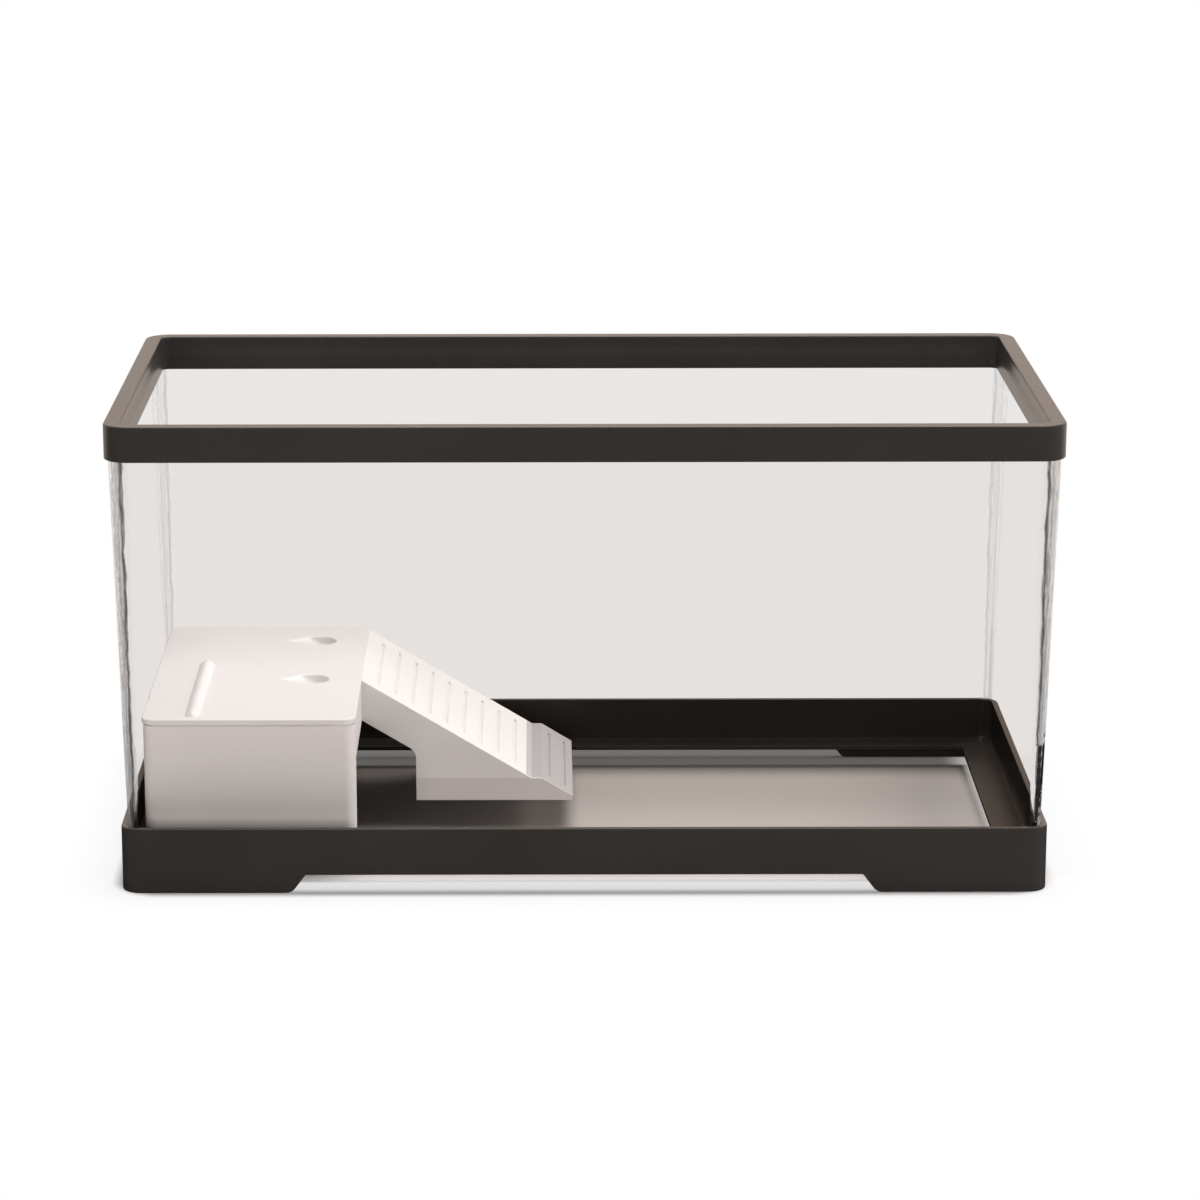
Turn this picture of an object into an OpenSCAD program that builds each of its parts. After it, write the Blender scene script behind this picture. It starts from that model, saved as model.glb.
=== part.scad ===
// Turtle tank: a clear tapered box with a black rim, on a black base frame,
// and a white basking platform with a ramp that stands on its floor.
// X runs along the tank, Y from the front to the back, Z up from the table.
// The middle of the tank is at X = 0, Y = 0, and the feet stand on Z = 0.

/* [Overall] */
// Length over the top rim
rim_w = 400; // [320:5:600]
// Depth over the top rim, front to back
rim_d = 210; // [190:5:320]
// Height from the table to the top of the rim
overall_h = 203; // [150:1:300]

/* [Tank] */
// Thickness of the clear walls
wall_t = 2.5; // [2:0.1:3]
// Thickness of the clear floor
floor_t = 2.5; // [2:0.1:5]
// Slope of the clear walls from upright, in degrees
wall_draft = 1.5; // [0.5:0.1:2.5]
// Radius of the tank's upright corners at the floor, seen from above
tank_corner_r = 4.6; // [4.4:0.1:12]
// Radius along the outer bottom edge
bottom_edge_r = 3; // [1:0.1:4]
// Radius in the inner bottom edge
floor_edge_r = 1.5; // [0.5:0.1:1.8]

/* [Top rim] */
// Height of the rim's skirt
rim_h = 15; // [10:0.5:25]
// Width of the rim's top face
rim_top_w = 7; // [6.5:0.1:9]
// Thickness over the tank's top edge
rim_top_t = 2; // [1.5:0.1:4]
// Thickness of the outer skirt
rim_skirt_t = 1.2; // [1:0.1:2.5]
// Depth of the thinner stretch inside the rim
rim_step_h = 5.3; // [3:0.1:8]
// Width of the step inside the rim
rim_step_w = 0.6; // [0.3:0.1:1]
// Radius along the rim's top edges
rim_edge_r = 0.8; // [0.3:0.1:1]
// Clearance between the rim and the tank's walls
rim_gap = 0.2; // [0.1:0.05:0.4]

/* [Base frame] */
// Height of the base frame from the table
frame_h = 28.5; // [20:0.5:45]
// Thickness of the frame's upright wall
frame_t = 2.7; // [2:0.1:4]
// Height of the feet, which is the height of the gaps between them
foot_h = 8; // [5.5:0.5:14]
// Length of each foot along the front, to the top of the gap
foot_len_x = 78.5; // [40:0.5:110]
// Length of each foot along the side, to the top of the gap
foot_len_y = 42; // [20:0.5:60]
// Slope of a foot's end from upright, in degrees
foot_slope = 37; // [10:1:45]
// Radius at the bottom of a foot's end
foot_end_r = 5; // [1:0.5:6]
// Width of the ledge under the tank, from the outside of the frame
ledge_w = 17.5; // [12:0.5:30]
// Thickness of the ledge
ledge_t = 2; // [1.5:0.1:4]
// Radius in the corners of the opening in the ledge
ledge_corner_r = 4; // [2:0.5:12]
// Clearance between the frame and the tank's walls
frame_gap = 0.2; // [0.1:0.05:0.4]
// Radius along the frame's top and bottom edges
frame_edge_r = 0.6; // [0.3:0.1:0.9]

/* [Platform] */
// Length of the platform's walls along the tank
deck_w = 91.4; // [70:0.5:120]
// Depth of the platform's walls, front to back
deck_d = 156.3; // [110:0.5:165]
// Height of the deck over the tank's floor
deck_h = 55.8; // [40:0.5:80]
// Thickness of the deck
deck_t = 3.2; // [3:0.1:5]
// Thickness of the platform's walls and of the ramp's sides
shell_t = 2.5; // [1.6:0.1:3.5]
// Radius of the platform's upright corners
deck_corner_r = 5; // [4:0.5:8]
// Overhang of the deck's edge over the walls
lip_w = 0.6; // [0.3:0.1:1]
// Height of the deck's edge
lip_h = 2.2; // [1.5:0.1:2.8]
// Height of the closed band over the doorway
band_h = 18.4; // [10:0.2:22]
// Width of the opening in the back wall, from the doorway's side
back_open_w = 30; // [15:0.5:50]
// Clearance between the platform and the rounded edge at the tank's left wall
platform_gap = 0.3; // [0.2:0.1:3]
// Space between the platform and the rounded edge at the tank's back wall
back_space = 10.4; // [1:0.1:14]
// Length of the small notch in the deck's left edge
notch_l = 8; // [4:0.5:14]
// Distance of that notch from the front of the deck
notch_at = 34; // [10:1:90]

/* [Deck details] */
// Length of each drop-shaped recess in the deck
drop_l = 23; // [20:0.5:30]
// Radius of the round end of a recess
drop_r = 8.4; // [4:0.2:9]
// Depth of a recess at its round end
drop_depth = 2.2; // [1:0.1:2.2]
// Distance of the recesses from the deck's ramp side
drop_inset = 14; // [8:0.5:30]
// Distance of the first recess from the front of the deck
drop_first = 65; // [30:1:80]
// Distance between the two recesses
drop_pitch = 66; // [30:0.5:70]
// Width of the raised bar on the deck
bar_w = 6.4; // [4:0.2:10]
// Height of the raised bar
bar_h = 2; // [1:0.1:3]
// Length of the raised bar
bar_l = 89; // [40:1:100]
// Distance of the bar's middle from the deck's left wall
bar_at = 21; // [10:0.5:40]
// Distance of the bar from the front of the deck
bar_first = 4; // [2:0.5:20]

/* [Ramp] */
// Width of the ramp, front to back
ramp_w = 88.5; // [50:0.5:110]
// Distance of the ramp from the back of the deck
ramp_inset = 5.4; // [0:0.2:20]
// Slope of the ramp, in degrees
ramp_slope = 31; // [26:0.5:40]
// Thickness of the ramp's walking surface
ramp_t = 2.5; // [2:0.1:4]
// Height of the landing over the tank's floor
landing_h = 10.4; // [7:0.2:16]
// Length of the landing
landing_l = 4.4; // [2:0.2:12]
// Height of the ramp's end over the tank's floor
toe_h = 2; // [1.5:0.1:4]
// Width of the arch between the platform and the ramp's leg
arch_w = 24; // [15:0.5:35]
// Radius of the arch's corner
arch_r = 6; // [2:0.5:8]
// Depth of the slope along the lower band of the ramp's sides
plinth_in = 0.8; // [0.3:0.1:1.2]
// Distance between treads along the tank
tread_pitch = 7.6; // [5:0.2:12]
// Distance of the first groove from the deck
tread_first = 8.2; // [6:0.2:12]
// Number of grooves above the landing
tread_count = 9; // [3:1:9]
// Number of grooves below the landing
toe_tread_count = 2; // [1:1:2]
// Width of a groove between two treads
groove_w = 1; // [0.6:0.1:1.6]
// Depth of a groove between two treads
groove_d = 0.8; // [0.4:0.1:1.2]
// Distance of the grooves' ends from the ramp's sides
groove_inset = 10; // [5:0.5:16]

/* [Hidden] */

black_plastic = [0.11, 0.10, 0.095];
white_plastic = [0.95, 0.94, 0.92];
clear_plastic = [0.90, 0.90, 0.89, 0.35];

// Points along an edge radius, and the reach of a cut past a face
arc_n = 8;
cut = 1;
$fn = 64;

// Heights
tank_z = foot_h + ledge_t;
floor_z = tank_z + floor_t;
tank_top_z = overall_h - rim_top_t;
rim_z = overall_h - rim_h;

// Every ring round the tank turns its corners about the same four upright lines.
// A radius below is a distance from those lines.
lean = tan(wall_draft);
function tank_r(z) = tank_corner_r + (z - tank_z) * lean;
slot_r = tank_r(tank_top_z) + rim_gap;
rim_r = slot_r + rim_skirt_t;
rim_in_r = rim_r - rim_top_w;
rim_slot_in_r = tank_r(rim_z) - wall_t - rim_gap;
frame_in_r = tank_r(frame_h) + frame_gap;
frame_r = frame_in_r + frame_t;
corner_x = rim_w / 2 - rim_r;
corner_y = rim_d / 2 - rim_r;

// Inside of the tank at the height of its floor
inner_r = tank_r(floor_z) - wall_t;
inner_x = corner_x + inner_r;
inner_y = corner_y + inner_r;

// Platform walls, from the tank's left and back walls
deck_x0 = -inner_x + floor_edge_r + platform_gap;
deck_x1 = deck_x0 + deck_w;
deck_y1 = inner_y - floor_edge_r - back_space;
deck_y0 = deck_y1 - deck_d;
deck_z = floor_z + deck_h;
door_h = deck_h - band_h;

// Ramp, from the deck's right side
ramp_y1 = deck_y1 - ramp_inset;
ramp_y0 = ramp_y1 - ramp_w;
fall = tan(ramp_slope);
ramp_run = (deck_h - landing_h) / fall;
toe_run = (landing_h - toe_h) / fall;
ramp_l = ramp_run + landing_l + toe_run;
ramp_drop_t = ramp_t / cos(ramp_slope);

// Points on an arc about [x, y], from angle a0 to a1
function arc(x, y, r, a0, a1, n = arc_n) =
    [for (i = [0:n]) [x + r * cos(a0 + (a1 - a0) * i / n), y + r * sin(a0 + (a1 - a0) * i / n)]];

// Sweeps a section, given as [radius, height] points, round the rounded rectangle
module ring(section) {
    for (sx = [-1, 1], sy = [-1, 1])
        translate([sx * corner_x, sy * corner_y, 0])
            mirror([sx < 0 ? 1 : 0, 0, 0])
                mirror([0, sy < 0 ? 1 : 0, 0])
                    rotate_extrude(angle = 90)
                        polygon(section);
    for (side = [0, 1])
        mirror([side, 0, 0])
            translate([corner_x, corner_y, 0])
                rotate([90, 0, 0])
                    linear_extrude(2 * corner_y)
                        polygon(section);
    for (side = [0, 1])
        mirror([0, side, 0])
            translate([-corner_x, corner_y, 0])
                rotate([90, 0, 90])
                    linear_extrude(2 * corner_x)
                        polygon(section);
}

// A flat rounded rectangle between two corners
module rounded_area(x0, y0, x1, y1, r) {
    translate([x0 + r, y0])
        square([x1 - x0 - 2 * r, y1 - y0]);
    translate([x0, y0 + r])
        square([x1 - x0, y1 - y0 - 2 * r]);
    for (x = [x0 + r, x1 - r], y = [y0 + r, y1 - r])
        translate([x, y])
            circle(r);
}

// Extrudes a profile, drawn as [x, z] points, from y0 to y1
module side_profile(points, y0, y1) {
    translate([0, y1, 0])
        rotate([90, 0, 0])
            linear_extrude(y1 - y0)
                polygon(points);
}

function tank_section() =
    let (
        hyp = sqrt(1 + lean * lean),
        out_x = tank_corner_r + bottom_edge_r * (lean - hyp),
        in_x = inner_r + floor_edge_r * (lean - hyp)
    )
    concat(
        [[0, tank_z]],
        arc(out_x, tank_z + bottom_edge_r, bottom_edge_r, -90, -wall_draft),
        [
            [tank_r(tank_top_z), tank_top_z],
            [tank_r(tank_top_z) - wall_t, tank_top_z]
        ],
        arc(in_x, floor_z + floor_edge_r, floor_edge_r, -wall_draft, -90),
        [[0, floor_z]]
    );

module tank() {
    color(clear_plastic) {
        ring(tank_section());
        translate([-corner_x, -corner_y, tank_z])
            cube([2 * corner_x, 2 * corner_y, floor_t]);
    }
}

function rim_section() =
    concat(
        [
            [rim_in_r - rim_step_w, rim_z],
            [rim_slot_in_r, rim_z],
            [rim_slot_in_r, tank_top_z],
            [slot_r, tank_top_z],
            [slot_r, rim_z]
        ],
        arc(rim_r - rim_edge_r / 2, rim_z + rim_edge_r / 2, rim_edge_r / 2, -90, 0, 4),
        arc(rim_r - rim_edge_r, overall_h - rim_edge_r, rim_edge_r, 0, 90, 6),
        arc(rim_in_r + rim_edge_r, overall_h - rim_edge_r, rim_edge_r, 90, 180, 6),
        [
            [rim_in_r, overall_h - rim_step_h],
            [rim_in_r - rim_step_w, overall_h - rim_step_h]
        ]
    );

module top_rim() {
    color(black_plastic)
        ring(rim_section());
}

function frame_section() =
    concat(
        [[frame_in_r, 0]],
        arc(frame_r - frame_edge_r, frame_edge_r, frame_edge_r, -90, 0, 4),
        arc(frame_r - frame_edge_r, frame_h - frame_edge_r, frame_edge_r, 0, 90, 4),
        [[frame_in_r, frame_h]]
    );

// Outline of a gap between two feet, as [along, height] points, half is its half length at the top
function gap_outline(half) =
    let (
        run = foot_h * tan(foot_slope) + foot_end_r * tan(45 - foot_slope / 2),
        right = concat(
            [[half, foot_h]],
            arc(half + run, foot_end_r, foot_end_r, 180 + foot_slope, 270)
        ),
        left = [for (i = [len(right) - 1:-1:0]) [-right[i][0], right[i][1]]]
    )
    concat(right, [[half + run, -cut], [-half - run, -cut]], left);

module foot_gaps() {
    frame_x = corner_x + frame_r;
    frame_y = corner_y + frame_r;
    translate([0, frame_y + cut, 0])
        rotate([90, 0, 0])
            linear_extrude(2 * (frame_y + cut))
                polygon(gap_outline(frame_x - foot_len_x));
    translate([-frame_x - cut, 0, 0])
        rotate([90, 0, 90])
            linear_extrude(2 * (frame_x + cut))
                polygon(gap_outline(frame_y - foot_len_y));
}

module ledge() {
    edge_x = corner_x + frame_in_r;
    edge_y = corner_y + frame_in_r;
    hole_x = corner_x + frame_r - ledge_w;
    hole_y = corner_y + frame_r - ledge_w;
    translate([0, 0, foot_h])
        linear_extrude(ledge_t)
            difference() {
                rounded_area(-edge_x, -edge_y, edge_x, edge_y, frame_in_r);
                rounded_area(-hole_x, -hole_y, hole_x, hole_y, ledge_corner_r);
            }
}

module base_frame() {
    color(black_plastic) {
        difference() {
            ring(frame_section());
            foot_gaps();
        }
        ledge();
    }
}

// Walls and deck as one shell, open below and at the doorway
module platform_shell() {
    door_z = floor_z + door_h;
    difference() {
        union() {
            translate([0, 0, floor_z])
                linear_extrude(deck_h - lip_h)
                    rounded_area(deck_x0, deck_y0, deck_x1, deck_y1, deck_corner_r);
            translate([0, 0, deck_z - lip_h])
                linear_extrude(lip_h)
                    rounded_area(deck_x0 - lip_w, deck_y0 - lip_w, deck_x1, deck_y1 + lip_w, deck_corner_r);
        }
        translate([0, 0, floor_z - cut])
            linear_extrude(deck_h - deck_t + cut)
                rounded_area(deck_x0 + shell_t, deck_y0 + shell_t, deck_x1 - shell_t, deck_y1 - shell_t,
                    deck_corner_r - shell_t);
        translate([deck_x1 - deck_corner_r, deck_y0 + deck_corner_r, floor_z - cut])
            cube([deck_corner_r + cut, deck_d, door_h + cut]);
        translate([deck_x1 - back_open_w, deck_y1 - deck_corner_r, floor_z - cut])
            cube([back_open_w + cut, deck_corner_r + cut, door_h + cut]);
        translate([deck_x0 - lip_w - cut, deck_y0 + notch_at - notch_l / 2, deck_z - lip_h])
            cube([lip_w + cut, notch_l, lip_h + cut]);
    }
}

// A drop lying along X, round at the high X end, as a solid to cut with. At Z = 0 it is as
// long and as round as the recess. A ball dips into the deck there, and a cone that
// touches the ball all round runs up to the tip.
module drop_cutter() {
    ball_r = (drop_r * drop_r + drop_depth * drop_depth) / (2 * drop_depth);
    rise = ball_r - drop_depth;
    neck = drop_l - drop_r;
    reach = sqrt(neck * neck + rise * rise);
    cone_h = (reach * reach - ball_r * ball_r) / reach;
    translate([0, 0, rise])
        sphere(ball_r);
    translate([-neck, 0, 0])
        rotate([0, atan2(neck, rise), 0])
            cylinder(h = cone_h, r1 = 0, r2 = ball_r * sqrt(cone_h / reach));
}

module deck_bar() {
    bar_r = (bar_w * bar_w / 4 + bar_h * bar_h) / (2 * bar_h);
    bar_z = deck_z + bar_h - bar_r;
    end_in = bar_w / 2;
    bar_y0 = deck_y0 + bar_first + end_in;
    intersection() {
        union() {
            translate([deck_x0 + bar_at, bar_y0, bar_z])
                rotate([-90, 0, 0])
                    cylinder(h = bar_l - bar_w, r = bar_r);
            for (y = [bar_y0, bar_y0 + bar_l - bar_w])
                translate([deck_x0 + bar_at, y, bar_z])
                    sphere(bar_r);
        }
        translate([deck_x0, deck_y0, deck_z - lip_h / 2])
            cube([deck_w, deck_d, bar_h + lip_h]);
    }
}

// Outline of the ramp's side, from the deck's right side at x = 0 and the floor at z = 0
function ramp_side() =
    let (under = deck_h - band_h, corner_z = under - arch_w * fall)
    concat(
        [
            [0, deck_h],
            [ramp_run, landing_h],
            [ramp_run + landing_l, landing_h],
            [ramp_l, toe_h],
            [ramp_l, 0],
            [arch_w, 0]
        ],
        arc(arch_w - arch_r, corner_z + arch_r * (fall - 1 / cos(ramp_slope)), arch_r, 0, 90 - ramp_slope),
        [[0, under]]
    );

// Outline of the walking surface, as thick as ramp_t
function ramp_top() =
    [
        [-shell_t, deck_h - deck_t],
        [-shell_t, deck_h - deck_t / 2],
        [0, deck_h],
        [ramp_run, landing_h],
        [ramp_run + landing_l, landing_h],
        [ramp_l, toe_h],
        [ramp_l, 0],
        [ramp_l - ramp_drop_t, 0],
        [ramp_l - ramp_drop_t, toe_h],
        [ramp_run + landing_l, landing_h - ramp_drop_t],
        [ramp_run, landing_h - ramp_drop_t],
        [0, deck_h - deck_t]
    ];

// One groove across a slope that starts at [x, z], at a distance along X
module groove(x, z, along) {
    translate([x + along, ramp_y0 + groove_inset, z - along * fall])
        rotate([0, ramp_slope, 0])
            translate([-groove_w / 2, 0, -groove_d])
                cube([groove_w, ramp_w - 2 * groove_inset, groove_d + cut]);
}

// The sloped lower band on one side of the ramp, to cut away
module plinth_cut(y, out) {
    translate([deck_x1 + arch_w - cut, y, floor_z])
        rotate([90, 0, 90])
            linear_extrude(ramp_l - arch_w + 2 * cut)
                polygon([[out * cut, landing_h], [0, landing_h], [-out * plinth_in, 0],
                    [-out * plinth_in, -cut], [out * cut, -cut]]);
}

module ramp() {
    difference() {
        translate([deck_x1, 0, floor_z]) {
            side_profile(ramp_side(), ramp_y0, ramp_y0 + shell_t);
            side_profile(ramp_side(), ramp_y1 - shell_t, ramp_y1);
            side_profile(ramp_top(), ramp_y0, ramp_y1);
        }
        for (i = [0:tread_count - 1])
            groove(deck_x1, deck_z, tread_first + i * tread_pitch);
        for (i = [0:toe_tread_count - 1])
            groove(deck_x1 + ramp_run + landing_l, floor_z + landing_h, (i + 0.5) * toe_run / toe_tread_count);
        plinth_cut(ramp_y0, -1);
        plinth_cut(ramp_y1, 1);
    }
}

module basking_platform() {
    drop_x = deck_x1 - drop_inset - drop_r;
    color(white_plastic) {
        difference() {
            union() {
                platform_shell();
                ramp();
            }
            for (i = [0, 1])
                translate([drop_x, deck_y0 + drop_first + i * drop_pitch, deck_z])
                    drop_cutter();
        }
        deck_bar();
    }
}

tank();
top_rim();
base_frame();
basking_platform();
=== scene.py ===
import math

import bmesh
import bpy
from mathutils import Matrix, Vector


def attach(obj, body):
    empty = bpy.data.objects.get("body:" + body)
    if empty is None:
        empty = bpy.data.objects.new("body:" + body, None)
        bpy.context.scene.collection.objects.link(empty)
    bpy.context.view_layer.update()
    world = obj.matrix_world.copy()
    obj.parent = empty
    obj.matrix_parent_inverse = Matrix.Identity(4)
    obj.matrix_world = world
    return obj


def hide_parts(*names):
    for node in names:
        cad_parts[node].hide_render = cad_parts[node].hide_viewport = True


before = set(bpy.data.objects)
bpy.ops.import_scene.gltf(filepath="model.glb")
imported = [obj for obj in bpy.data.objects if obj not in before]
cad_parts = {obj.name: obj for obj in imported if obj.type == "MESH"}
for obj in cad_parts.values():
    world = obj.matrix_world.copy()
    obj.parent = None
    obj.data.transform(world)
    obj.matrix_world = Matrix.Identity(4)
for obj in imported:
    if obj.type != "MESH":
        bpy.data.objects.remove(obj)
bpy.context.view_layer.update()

MM = 0.001

# Sizes in mm and slopes in degrees, as the part's source has them
OVERALL_L, OVERALL_D, OVERALL_H = 400.0, 210.0, 203.0
WALL_T, FLOOR_T, WALL_DRAFT = 2.5, 2.5, 1.5
TANK_CORNER_R, BOTTOM_EDGE_R, FLOOR_EDGE_R = 4.6, 3.0, 1.5

RIM_H, RIM_TOP_W, RIM_TOP_T, RIM_SKIRT_T = 15.0, 7.0, 2.0, 1.2
RIM_STEP_W, RIM_EDGE_R, RIM_GAP = 0.6, 0.8, 0.2

FRAME_H, FRAME_T, FRAME_EDGE_R, FRAME_GAP = 28.5, 2.7, 0.6, 0.2
FOOT_H, FOOT_LEN_X, FOOT_LEN_Y = 8.0, 78.5, 42.0
FOOT_SLOPE, FOOT_END_R = 37, 5.0
LEDGE_W, LEDGE_T, LEDGE_CORNER_R = 17.5, 2.0, 4.0

DECK_W, DECK_D, DECK_H, DECK_T = 91.4, 156.3, 55.8, 3.2
SHELL_T, DECK_R = 2.5, 5.0
LIP_W, LIP_H = 0.6, 2.2
BAND_H, BACK_OPEN_W = 18.4, 30.0
PLATFORM_GAP, BACK_SPACE = 0.3, 10.4
NOTCH_L, NOTCH_AT = 8.0, 34.0
DROP_L, DROP_R, DROP_DEPTH = 23.0, 8.4, 2.2
DROP_INSET, DROP_FIRST, DROP_PITCH = 14.0, 65.0, 66.0
BAR_W, BAR_H, BAR_L = 6.4, 2.0, 89.0
BAR_AT, BAR_FIRST = 21.0, 4.0

RAMP_W, RAMP_INSET, RAMP_T, RAMP_SLOPE = 88.5, 5.4, 2.5, 31
LANDING_H, LANDING_L, TOE_H = 10.4, 4.4, 2.0
ARCH_W, ARCH_R = 24.0, 6.0
PLINTH_IN = 0.8
TREAD_PITCH, TREAD_COUNT, TOE_TREAD_COUNT = 7.6, 9, 2
GROOVE_INSET = 10.0

# Sizes in mm that differ from the source's, or that only the scene has
RIM_STEP_TOP, RIM_STEP_H = 3.4, 6.4
TREAD_FIRST = 7.1
GROOVE_W, GROOVE_D = 1.3, 1.1
TOE_GROOVE_W, TOE_GROOVE_D = 1.0, 0.6
EDGE_LINE_H, EDGE_LINE_D = 0.8, 0.9

# How far a cutting solid reaches past what it cuts, and the steps in a round corner
CUT = 1.0
TANK_STEPS, FRAME_STEPS, LEDGE_STEPS, DECK_STEPS, SHELL_STEPS = 20, 16, 12, 14, 10

# Places and radii that follow from the sizes
LEAN = math.tan(math.radians(WALL_DRAFT))
TANK_Z = FOOT_H + LEDGE_T
FLOOR_Z = TANK_Z + FLOOR_T
TANK_TOP_Z = OVERALL_H - RIM_TOP_T
RIM_Z = OVERALL_H - RIM_H


def tank_r(z):
    """Distance of the tank's outside from the upright lines that its corners turn about."""
    return TANK_CORNER_R + (z - TANK_Z) * LEAN


SLOT_R = tank_r(TANK_TOP_Z) + RIM_GAP
RIM_R = SLOT_R + RIM_SKIRT_T
RIM_IN_R = RIM_R - RIM_TOP_W
RIM_SLOT_IN_R = tank_r(RIM_Z) - WALL_T - RIM_GAP
FRAME_IN_R = tank_r(FRAME_H) + FRAME_GAP
FRAME_R = FRAME_IN_R + FRAME_T
CORNER_X, CORNER_Y = OVERALL_L / 2 - RIM_R, OVERALL_D / 2 - RIM_R
FRAME_X, FRAME_Y = CORNER_X + FRAME_R, CORNER_Y + FRAME_R
INNER_R = tank_r(FLOOR_Z) - WALL_T
INNER_X, INNER_Y = CORNER_X + INNER_R, CORNER_Y + INNER_R

DECK_X0 = FLOOR_EDGE_R + PLATFORM_GAP - INNER_X
DECK_X1 = DECK_X0 + DECK_W
DECK_Y1 = INNER_Y - (FLOOR_EDGE_R + BACK_SPACE)
DECK_Y0 = DECK_Y1 - DECK_D
DECK_Z = FLOOR_Z + DECK_H
DOOR_Z = DECK_Z - BAND_H
DROP_X = DECK_X1 - DROP_INSET - DROP_R

# The ball that a recess's round end is cut with, and the way from its middle to the recess's point
BALL_R = (DROP_R ** 2 + DROP_DEPTH ** 2) / (2 * DROP_DEPTH)
BALL_RISE = BALL_R - DROP_DEPTH
DROP_NECK = DROP_L - DROP_R

RAMP_Y1 = DECK_Y1 - RAMP_INSET
RAMP_Y0 = RAMP_Y1 - RAMP_W
SLOPE = math.radians(RAMP_SLOPE)
FALL = math.tan(SLOPE)
RAMP_RUN = (DECK_H - LANDING_H) / FALL
TOE_RUN = (LANDING_H - TOE_H) / FALL
LANDING_END = RAMP_RUN + LANDING_L
RAMP_L = LANDING_END + TOE_RUN

# A noise mostly lies between these
NOISE_LOW, NOISE_HIGH = 0.3, 0.7

# Colours: two tones of each moulded plastic, and shades for darker places of the white one
BLACK_TONES = ((0.033, 0.030, 0.0276), (0.038, 0.0345, 0.032))
WHITE_TONES = ((0.864, 0.857, 0.860), (0.892, 0.885, 0.888))
BLOCK_SHADE = (0.86, 0.85, 0.85)
TOE_SHADE = (0.62, 0.62, 0.63)
# The recess shade is painted shade, where the recesses' walls face away from the light
RECESS_PAINTED_SHADE = (0.66, 0.66, 0.64)

# The clear plastic: its tint as it is seen and as lamps shine through it, how much its corners bend
# light, and the beads up them, in mm
WALL_TINT = (0.980, 0.970, 0.963, 1.0)
LAMP_TINT = (0.90, 0.885, 0.87, 1.0)
GLASS_SHARE = 0.6
BEAD_PITCH, BEAD_RISE = 4.7, 0.022
PLASTIC_IOR, GLASS_IOR = 1.46, 1.5

# The stage: its floor's own colour, its fill light, and how white it is behind clear plastic
FLOOR_TONE = (0.57, 0.562, 0.565)
FLOOR_RADIUS = 9.0
FILL = 0.12
BEHIND = 0.85

# The camera that fits the photograph: tilt and roll in degrees, its place in mm, and the focal length
# and the middle in the photograph's pixels
TILT, ROLL = 14.353, -0.094
CAMERA_AT = (-19.454, -1725.736, 544.128)
PHOTO_W, FOCAL, MIDDLE_X = 1200, 4014.07, 538.13
SENSOR_W = 36.0


# Mesh helpers
def arc(x, y, r, a0, a1, n):
    """Points on an arc about (x, y), from a0 to a1 degrees in n steps."""
    out = []
    for i in range(n + 1):
        a = math.radians(a0 + (a1 - a0) * i / n)
        out.append((x + r * math.cos(a), y + r * math.sin(a)))
    return out


def corner_path(x1, y1, n, x0=None, y0=None):
    """Centre and angle of each station round a rounded rectangle, n steps a corner, anticlockwise.
    It has its middle at the origin unless x0 and y0 are given."""
    x0 = -x1 if x0 is None else x0
    y0 = -y1 if y0 is None else y0
    out = []
    for k, (x, y) in enumerate(((x1, y1), (x0, y1), (x0, y0), (x1, y0))):
        for i in range(n + 1):
            out.append((x, y, math.radians(90 * k + 90 * i / n)))
    return out


def vert(bm, x, y, z):
    """A new vertex at a place in mm."""
    return bm.verts.new((x * MM, y * MM, z * MM))


def ring(bm, station, section):
    """Vertices of a [radius, height] section at one station of a path."""
    x, y, a = station
    return [vert(bm, x + r * math.cos(a), y + r * math.sin(a), z) for r, z in section]


def skin(bm, rows, across=False, along=False):
    """Faces between neighbouring rows of vertices. With across each row is closed, and with along the
    last row is joined to the first."""
    following = rows[1:] + rows[:1] if along else rows[1:]
    for a, b in zip(rows, following):
        for j in range(len(a) if across else len(a) - 1):
            k = (j + 1) % len(a)
            bm.faces.new((a[j], a[k], b[k], b[j]))


def sharpen(bm, degrees):
    """Smooths the faces and marks the edges that turn more than degrees as hard."""
    limit = math.radians(degrees)
    for f in bm.faces:
        f.smooth = True
    for e in bm.edges:
        e.smooth = len(e.link_faces) == 2 and e.calc_face_angle(0.0) < limit


def to_object(bm, name, material=None, sharp=32, weighted=True):
    """An object in the scene from a bmesh, which is freed."""
    bmesh.ops.recalc_face_normals(bm, faces=bm.faces)
    sharpen(bm, sharp)
    mesh = bpy.data.meshes.new(name)
    bm.to_mesh(mesh)
    bm.free()
    obj = bpy.data.objects.new(name, mesh)
    bpy.context.scene.collection.objects.link(obj)
    if material:
        mesh.materials.append(material)
    if weighted:
        m = obj.modifiers.new("normals", "WEIGHTED_NORMAL")
        m.keep_sharp = True
        m.weight = 60
    return obj


def scratch(bm):
    """A bare object that is cut away from another, added to it or replaced later."""
    return to_object(bm, "scratch", weighted=False)


def remove(obj):
    """Deletes an object and its mesh."""
    mesh = obj.data
    bpy.data.objects.remove(obj)
    bpy.data.meshes.remove(mesh)


def swept(path, sections):
    """A closed sweep round a closed path, with one closed section for each station."""
    bm = bmesh.new()
    rings = [ring(bm, station, section) for station, section in zip(path, sections)]
    skin(bm, rings, across=True, along=True)
    return bm


def solid_of(path, section):
    """A closed solid from an open section whose two ends have the radius 0."""
    bm = bmesh.new()
    skin(bm, [ring(bm, station, section) for station in path], along=True)
    bmesh.ops.remove_doubles(bm, verts=bm.verts, dist=1e-7)
    open_edges = [e for e in bm.edges if len(e.link_faces) == 1]
    bmesh.ops.holes_fill(bm, edges=open_edges, sides=0)
    return bm


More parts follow.
